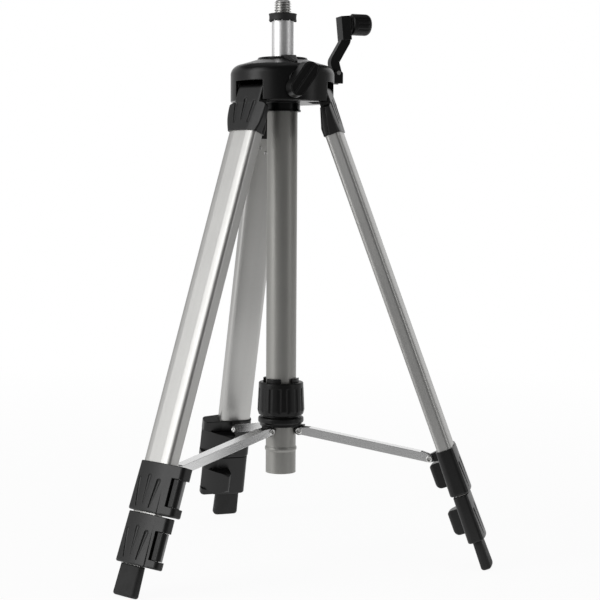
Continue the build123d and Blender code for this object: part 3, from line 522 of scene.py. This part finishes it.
def threaded_stud(finish):
    """Stud of revolution: radius = core + depth * wave(z / pitch - angle / turn).

    The thread fades in at the foot. The tip narrows with a slope and ends in a dome, whose radius
    goes with cos(s) ^ power and its height with sin(s).
    """
    turn = np.linspace(0.0, FULL_TURN, stud_columns, endpoint=False)
    heights = np.linspace(thread_start, stud_height - dome_rise, thread_rows)
    phase = heights[:, None] / thread_pitch - turn[None, :] / FULL_TURN
    fade = np.clip((heights - thread_fade[0]) / thread_fade[1], 0.0, 1.0)
    limit = np.minimum(stud_major, stud_major - (heights - tip_start) * tip_slope)
    ridged = stud_core + thread_depth * thread_wave(phase) * fade[:, None]
    ridged = np.minimum(ridged, limit[:, None])
    dome = np.linspace(0.0, QUARTER_TURN, 10)[1:]
    dome_radius = ridged[-1].min() * np.cos(dome) ** dome_power
    foot = np.array([
        [0.0, -shank_depth], [shank_radius, -shank_depth], [shank_radius, -collar_height],
        [collar_radius, -collar_height], [collar_radius, 0.0], [stud_foot, 0.0],
    ])
    radius = np.concatenate([
        np.repeat(foot[:, :1], stud_columns, axis=1),
        ridged,
        np.repeat(dome_radius[:, None], stud_columns, axis=1),
    ])
    levels = np.concatenate([foot[:, 1], heights, heights[-1] + dome_rise * np.sin(dome)])
    height = np.repeat(levels[:, None], stud_columns, axis=1)
    points = np.stack([radius * np.cos(turn), radius * np.sin(turn), height], axis=-1)
    piece = surface("stud_thread", points, "column", finish)
    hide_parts("mounting_stud")


def spun(profile, centre, axis, columns=48):
    """Points of a profile (radius, height along the axis) turned about an axis through a centre."""
    axis = np.array(axis, float)
    axis /= np.linalg.norm(axis)
    side = np.cross(axis, (0.0, 0.0, 1.0))
    side /= np.linalg.norm(side)
    other = np.cross(axis, side)
    turn = np.linspace(0.0, FULL_TURN, columns, endpoint=False)
    ring = np.cos(turn)[:, None] * side + np.sin(turn)[:, None] * other
    profile = np.array(profile)
    return np.array(centre) + profile[:, 0, None, None] * ring + profile[:, 1, None, None] * axis


def eyelet_profile():
    """Hollow rivet, half outline: rolled rims of two quarter ellipses each, round blind hollows."""
    arc = np.linspace(0.0, QUARTER_TURN, 9)
    middle = (rivet_rim + rivet_hollow) / 2
    out = middle + (rivet_rim - middle) * np.cos(arc)
    back = middle - (middle - rivet_hollow) * np.sin(arc)
    bottom = brace_half_width - rivet_hollow_depth
    half = np.concatenate([
        [[rivet_shank, 0.0], [rivet_shank, brace_half_width], [rivet_rim, brace_half_width]],
        np.stack([out, brace_half_width + rivet_rise * np.sin(arc)], axis=1),
        np.stack([back, brace_half_width + rivet_rise * np.cos(arc)], axis=1),
        [[rivet_hollow, bottom], [0.0, bottom]],
    ])
    return np.concatenate([half[::-1] * (1.0, -1.0), half[1:]])


def brace_rivets(leg, finish):
    """Two hollow rivets through the ends of one brace, turned about the axes of its two hinges."""
    name = f"{leg}_eyelets"
    hinges = (joints[f"{leg}_brace_fold"], joints[f"{leg}_leg_fold"])
    grids = [spun(eyelet_profile(), hinge["pos_m"], hinge["axis"]) for hinge in hinges]
    piece = finished(name, grid_mesh(name, grids), f"{leg}_brace", finish)
    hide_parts(f"{leg}_brace_rivets")


def leg_matrix(leg):
    """Axes of one leg: X across it, Y out of its outer face, Z back up along it."""
    turn = Matrix.Rotation(math.radians(LEGS[leg]), 4, "Z")
    return turn @ Matrix.Translation(leg_start) @ Matrix.Rotation(leg_tilt, 4, "X")


def on_leg(leg, points):
    """Points of a leg's own axes, in the part's frame."""
    axes = np.array(leg_matrix(leg))
    return np.array(points) @ axes[:3, :3].T + axes[:3, 3]


def grain_turn(leg, lean):
    """Turn for a Mapping node that lays Z along a piece which leans on one leg's side."""
    axes = Matrix.Rotation(math.radians(LEGS[leg]), 3, "Z") @ Matrix.Rotation(lean, 3, "X")
    return tuple(axes.inverted().to_euler("XYZ"))


def flattened(wave):
    """S(v) = sign(v) |v| ^ power, which holds a wave near 1 and -1."""
    return np.sign(wave) * np.abs(wave) ** side_power


def leg_section(half_width, front, back, crowns, corner, columns=144):
    """Outline across a leg, evenly spaced: flat sides between corners of radius r, then crowned.

    x = (w - r) S(cos t) + r cos t and y = m + (h - r) S(sin t) + r sin t, where S flattens, and m
    and h are the middle and half of the depth. A crown lowers its face by its height times (x / w)
    squared.
    """
    t = np.linspace(0.0, FULL_TURN, outline_samples)
    across, out = np.cos(t), np.sin(t)
    half = (front - back) / 2
    x = (half_width - corner) * flattened(across) + corner * across
    rise = ((half - corner) * flattened(out) + corner * out) / half
    y = (front + back) / 2 + rise * (half - np.where(out > 0.0, *crowns) * (x / half_width) ** 2)
    length = np.concatenate([[0.0], np.cumsum(np.hypot(np.diff(x), np.diff(y)))])
    even = np.linspace(0.0, length[-1], columns, endpoint=False)
    return np.stack([np.interp(even, length, x), np.interp(even, length, y)], axis=1)


def ring_at(section, down):
    """A section's points at a distance down the leg."""
    return np.column_stack([section, np.full(len(section), -down)])


def along_leg(name, leg, rings, finish, stands_for=None):
    """A closed surface through rings of a leg's own axes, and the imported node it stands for."""
    piece = surface(f"{leg}_{name}", on_leg(leg, rings), f"{leg}_leg", finish)
    if stands_for:
        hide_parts(f"{leg}_{stands_for}")


def soft_tube(leg, finish):
    """Upper tube with softly drawn corners: a section outside, one a wall inside, closed ends."""
    top, bottom = tube_ends
    rings = []
    for inset, down in ((0.0, top), (0.0, bottom), (leg_wall, bottom), (leg_wall, top), (0.0, top)):
        section = leg_section(leg_half_width - inset, leg_front - inset, inset - leg_back,
                              leg_crowns, leg_corner - inset)
        rings.append(ring_at(section, down))
    along_leg("drawn_tube", leg, rings, finish, "upper_tube")


def flute_depth(x, down):
    """Depth of the flutes across the front: the deepest of depth * sqrt(1 - (v / R) squared).

    u runs down a flute and v across it. R and the depth fall from head to tail, and both ends are
    round.
    """
    deepest = np.zeros_like(x)
    for (head_x, head_down), lean in zip(flute_heads, flute_leans):
        u = (down - head_down) * math.cos(lean) - (x - head_x) * math.sin(lean)
        v = (x - head_x) * math.cos(lean) + (down - head_down) * math.sin(lean)
        share = np.clip(u / flute_length, 0.0, 1.0)
        reach = flute_radii[0] + (flute_radii[1] - flute_radii[0]) * share
        depth = flute_depths[0] + (flute_depths[1] - flute_depths[0]) * share
        past = np.where(u < 0.0, u, np.maximum(u - flute_length, 0.0))
        inside = np.maximum(1.0 - (v ** 2 + past ** 2) / reach ** 2, 0.0)
        deepest = np.maximum(deepest, depth * np.sqrt(inside))
    return deepest


def fluted_block(leg, finish):
    """Hinge block: neck round about its pivot, quarter-ellipse shoulder, tapering fluted shield.

    The shoulder spreads as sqrt(1 - (1 - s) squared), s being the share of its height, and the
    shield tapers evenly to the cap's end, with a bulge of sin(pi * taper).
    """
    arc = np.linspace(neck_arc_start, QUARTER_TURN, 10)
    shelf = np.linspace(0.0, QUARTER_TURN, 14)
    down = np.concatenate([
        pivot_along - neck_radius * np.cos(arc),
        np.arange(pivot_along + grid_step, shoulder_along, grid_step),
        shoulder_along + shoulder_height * (1.0 - np.cos(shelf)),
        np.arange(shoulder_end + grid_step, cap_end, grid_step),
        [cap_end],
    ])
    turned = np.clip((down - shoulder_along) / shoulder_height, 0.0, 1.0)
    spread = np.sqrt(1.0 - (1.0 - turned) ** 2)
    taper = np.clip((down - shoulder_end) / (cap_end - shoulder_end), 0.0, 1.0)
    near_top = np.clip((pivot_along - down) / neck_radius, 0.0, 1.0)
    depth = neck_radius * np.sqrt(1.0 - near_top ** 2)
    bulge = cap_bulge * np.sin(math.pi * taper)
    half_width = neck_half_width + (shoulder_half_width - neck_half_width) * spread
    half_width += (cap_half_width - shoulder_half_width) * taper + bulge
    front = pivot_out + depth + (shoulder_front - pivot_out - neck_radius) * spread
    front += (cap_front - shoulder_front) * taper
    back = pivot_out - depth + (shoulder_back - pivot_out + neck_radius) * spread
    back += (shield_back - shoulder_back) * taper
    corner = neck_corner + (cap_corner - neck_corner) * taper
    corner = np.minimum(corner, corner_limit * (front - back) / 2)
    heart = np.zeros((block_columns, 2))
    rings = [ring_at(heart + (0.0, pivot_out), down[0])]
    for row, level in enumerate(down):
        crown = spread[row] * half_width[row] / leg_half_width
        crowns = [height * crown for height in leg_crowns]
        section = leg_section(half_width[row], front[row], back[row], crowns, corner[row],
                              block_columns)
        middle = (front[row] + back[row]) / 2
        on_front = section[:, 1] > middle + flute_front * (front[row] - middle)
        section[:, 1] -= np.where(on_front, flute_depth(section[:, 0], level), 0.0)
        rings.append(ring_at(section, level))
    rings.append(ring_at(heart, cap_end))
    along_leg("fluted_block", leg, rings, finish, "hinge_block")


def block_core(leg, finish):
    """Core behind a hinge block's shield: deepens down to the tube's end, with a socket for it."""
    socket = leg_section(leg_half_width, leg_front - cap_skin, -leg_back, leg_crowns, leg_corner)
    heart = np.zeros_like(socket)
    rings = [ring_at(heart, shoulder_along)]
    for down, end in ((shoulder_along, 0), (core_full, 1), (core_end, 1)):
        section = leg_section(core_half_widths[end], leg_front, core_backs[end], leg_crowns,
                              cap_corner)
        rings.append(ring_at(section, down))
    rings += [ring_at(socket, core_end), ring_at(socket, tube_ends[0])]
    rings.append(ring_at(heart, tube_ends[0]))
    along_leg("block_core", leg, rings, finish)


def tube_crimps(leg, finish):
    """Two punched crimps on a tube's inner face, each a lip round a shallow cup, drawn in darker steel as painted
    shade.

    The lip's height is exp(-((r / R - 1) / width) squared), and a flat underside closes the dish.
    """
    share = np.linspace(crimp_reach, 0.0, 18)
    lip = crimp_lip * np.exp(-(((share - 1.0) / crimp_lip_width) ** 2))
    cup = crimp_floor * (share < crimp_floor_reach)
    dish = np.stack([share * crimp_radius, lip + cup], axis=1)
    profile = np.concatenate([[[0.0, -crimp_lip], [dish[0, 0], -crimp_lip]], dish])
    for number, (down, across) in enumerate(crimps):
        points = spun(profile, (-across, -leg_back, -down), (0.0, -1.0, 0.0), crimp_columns)
        piece = surface(f"{leg}_crimp_{number + 1}", on_leg(leg, points), f"{leg}_leg", finish)


def lever_cam(leg, which, finish):
    """Cam face on a lever's barrel, drawn along its pin: radius = min(reach, front / sin a).

    a runs from the front round to the tube. Below 0 the radius falls to the core by (a / end)
    squared.
    """
    turn = np.radians(np.linspace(*cam_turns, cam_columns))
    face = np.minimum(cam_reach, cam_front / np.maximum(np.sin(turn), cam_least_sine))
    fall = 1.0 - np.clip(turn / math.radians(cam_turns[1]), 0.0, 1.0) ** 2
    radius = np.concatenate([cam_core + (face - cam_core) * fall, np.full(len(turn), cam_core)])
    about = np.concatenate([turn, turn[::-1]])
    section = np.stack([radius * np.cos(about), radius * np.sin(about)], axis=1)
    hinge = np.append(joints[f"{leg}_{which}_lever_flip"]["pos_m"], 1.0)
    pin = np.linalg.inv(np.array(leg_matrix(leg))) @ hinge
    top, bottom = lever_spans[which]
    heart = section.mean(axis=0)
    rings = [ring_at(pin[:2] + heart + (section - heart) * share, down)
             for share, down in ((0.0, top), (1.0, top), (1.0, bottom), (0.0, bottom))]
    points = on_leg(leg, rings)
    piece = surface(f"{leg}_{which}_lever_cam", points, f"{leg}_{which}_lever", finish)


def dress(slots):
    """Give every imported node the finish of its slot, or its leg's where a slot has one for each."""
    for part in frame["record"]["subparts"]:
        finish = slots[part["material_slot"]]
        if isinstance(finish, dict):
            finish = finish[part["node"].split("_")[0]]
        mesh = frame["nodes"][part["node"]].data
        mesh.materials.clear()
        mesh.materials.append(finish.material)


def photo_camera():
    """The photograph's camera: turned about the column, then yaw, pitch and roll."""
    data = bpy.data.cameras.new("camera")
    data.sensor_width = sensor_width
    data.lens = focal_pixels / frame_pixels * sensor_width
    data.clip_end = farthest_seen
    camera = linked("camera", data)
    turn = Matrix.Rotation(math.radians(camera_turn + camera_yaw), 4, "Z")
    tip = Matrix.Rotation(math.radians(camera_pitch), 4, "X")
    lean = Matrix.Rotation(math.radians(camera_roll), 4, "Y")
    upright = Matrix.Rotation(math.radians(90), 4, "X")
    camera.matrix_world = Matrix.Translation(camera_place) @ turn @ tip @ lean @ upright
    bpy.context.scene.camera = camera


def facing(place, target):
    """Matrix of something at a place that looks at a target along its own -Z."""
    place, target = Vector(place), Vector(target)
    aim = (target - place).to_track_quat("-Z", "Y")
    return Matrix.Translation(place) @ aim.to_matrix().to_4x4()


def round_about(turn, distance, rise):
    """A point about the column: degrees to the right of the camera's side, distance and height."""
    angle = math.radians(turn)
    aim = Matrix.Rotation(math.radians(camera_turn), 3, "Z")
    return aim @ Vector((distance * math.sin(angle), -distance * math.cos(angle), rise))


def softbox(name, place, size, radiance):
    """A soft area lamp aimed at the tripod's middle, which the camera itself doesn't see."""
    data = bpy.data.lights.new(name, "AREA")
    data.shape = "RECTANGLE"
    data.size, data.size_y = size
    data.energy = radiance * math.pi * size[0] * size[1]
    lamp = linked(name, data)
    lamp.matrix_world = facing(place, (0.0, 0.0, object_middle))
    lamp.visible_camera = False


def sheet_object(name, points, finish):
    """A plain open sheet from a grid of points, for the set and not the tripod."""
    mesh = grid_mesh(name, [points], closed=False)
    mesh.materials.append(finish.material)
    return linked(name, mesh)


def reflection_card(name, turns, rims, tone):
    """A curved grey card, seen only in reflections, swept between rims (distance, height)."""
    finish = Finish(name)
    finish.show(finish.node("Emission", inputs={"Color": grey(tone)}))
    sweep = np.linspace(*turns, card_columns)
    grid = [[round_about(turn, *rim) for turn in sweep] for rim in rims]
    card = sheet_object(name, np.array(grid), finish)
    card.visible_camera = False
    card.visible_shadow = False
    card.visible_diffuse = False


def surround():
    """A white world for the camera and reflections, and a dimmer one for plain light."""
    scene = bpy.context.scene
    scene.view_settings.view_transform = "Standard"
    scene.world = bpy.data.worlds.new("surround")
    scene.world.use_nodes = True
    shading = Shading(scene.world.node_tree)
    strength = shading.seen() * (1.0 - fill_level) + fill_level
    background = shading.tree.nodes["Background"]
    shading.join(background.inputs["Color"], grey(1.0))
    shading.join(background.inputs["Strength"], strength)


def floor(level):
    """A pale sheet under the feet, white to the camera and in reflections but for a soft shadow."""
    finish = Finish("floor_paper", Roughness=0.9, Specular_IOR_Level=0.0)
    finish.feed(Base_Color=grey(floor_tone))
    away = finish.length(finish.node("TexCoord", output="Object")).clipped(*floor_fade)
    whiteness = finish.seen() * (floor_white + (1.0 - floor_white) * away)
    glow = finish.node("Emission", inputs={"Color": grey(1.0)})
    lit = Value(finish, finish.shader.outputs[0])
    finish.show(finish.node("MixShader", inputs={0: whiteness, 1: lit, 2: glow}))
    side = np.array((-floor_reach, floor_reach))
    x, y = np.meshgrid(side, side)
    sheet_object("floor", np.stack([x, y, np.full_like(x, level)], axis=-1), finish)


steel = plated_steel("plated_steel", tone=0.72, gloss=0.24)
# The thread steel darkens the stud's thread roots as painted shade.
thread_steel = plated_steel("thread_steel", tone=0.78, gloss=0.24,
                            shaded_root=(stud_core, stud_major - 0.5 * thread_depth))
pin_steel = plated_steel("pin_steel", tone=0.45, gloss=0.3)
leg_silver = {
    leg: drawn_aluminium(f"{leg}_leg_anodised", tone=0.5, gloss=0.42,
                         turn=grain_turn(leg, leg_tilt), warm=0.03)
    for leg in LEGS
}
# The edge tone of each moulding paints its edges paler: rubbed wear and a painted highlight.
leg_black = {
    leg: moulded_plastic(f"{leg}_leg_moulding", tone=0.004, gloss=0.34, shine=0.4, edge_wear_and_highlight=0.08,
                         corner=0.8 * MM, turn=grain_turn(leg, leg_tilt),
                         front=leg_matrix(leg).to_3x3() @ ear_front)
    for leg in LEGS
}
brace_silver = {
    leg: drawn_aluminium(f"{leg}_brace_silver", tone=0.74, gloss=0.27,
                         turn=grain_turn(leg, brace_lean), mottle=0.03, relief=0.06, streaks=0.3)
    for leg in LEGS
}
# The edge tones here paint the mouldings' edges paler, as rubbed wear and as a painted highlight.
dress({
    "head_plastic": moulded_plastic("head_moulding", tone=0.003, gloss=0.27, shine=0.29,
                                    edge_wear_and_highlight=0.04, corner=1.0 * MM),
    "collar_plastic": moulded_plastic("collar_moulding", tone=0.012, gloss=0.55),
    "control_plastic": moulded_plastic("control_moulding", tone=0.003, gloss=0.34, shine=0.24,
                                       edge_wear_and_highlight=0.07),
    "hub_plastic": moulded_plastic("hub_moulding", tone=0.003, gloss=0.34, shine=0.27,
                                   edge_wear_and_highlight=0.03, corner=1.0 * MM),
    "leg_plastic": leg_black,
    "tube_aluminium": drawn_aluminium("outer_tube_anodised", tone=0.33, gloss=0.46, warm=0.06,
                                      metal=0.75),
    "column_aluminium": drawn_aluminium("column_bright", tone=0.8, gloss=0.44, mottle=0.5),
    "stud_steel": thread_steel,
    "pin_steel": pin_steel,
    "rivet_steel": steel,
    "brace_aluminium": brace_silver,
    "leg_aluminium": leg_silver,
    "foot_rubber": foot_rubber("foot_rubber"),
})
threaded_stud(thread_steel)
for leg in LEGS:
    brace_rivets(leg, steel)
    soft_tube(leg, leg_silver[leg])
    fluted_block(leg, leg_black[leg])
    block_core(leg, leg_black[leg])
    # The crimps take the darker pin steel: painted shade in their cups.
    tube_crimps(leg, pin_steel)
    for which in lever_spans:
        lever_cam(leg, which, leg_black[leg])

photo_camera()
surround()
floor(floor_level)
softbox("key_lamp", round_about(turn=-63, distance=1.6, rise=0.45), size=(0.75, 1.7), radiance=2.9)
softbox("side_lamp", round_about(turn=66, distance=1.7, rise=0.2), size=(0.4, 1.4), radiance=1.25)
softbox("top_lamp", round_about(turn=-150, distance=0.3, rise=1.3), size=(1.4, 1.4), radiance=0.3)
wall = ((card_distance, card_bottom), (card_distance, card_top))
over_floor = ((card_distance, floor_card_level), (floor_card_inner, floor_card_level))
ceiling = ((card_distance, card_top), (ceiling_inner, card_top))
reflection_card("front_card", turns=(-26, 50), rims=wall, tone=0.15)
reflection_card("side_card", turns=(50, 128), rims=wall, tone=0.32)
reflection_card("back_card", turns=(-160, -95), rims=wall, tone=0.62)
reflection_card("floor_card", turns=(-45, 60), rims=over_floor, tone=0.36)
reflection_card("ceiling_card", turns=(-180, 180), rims=ceiling, tone=0.1)
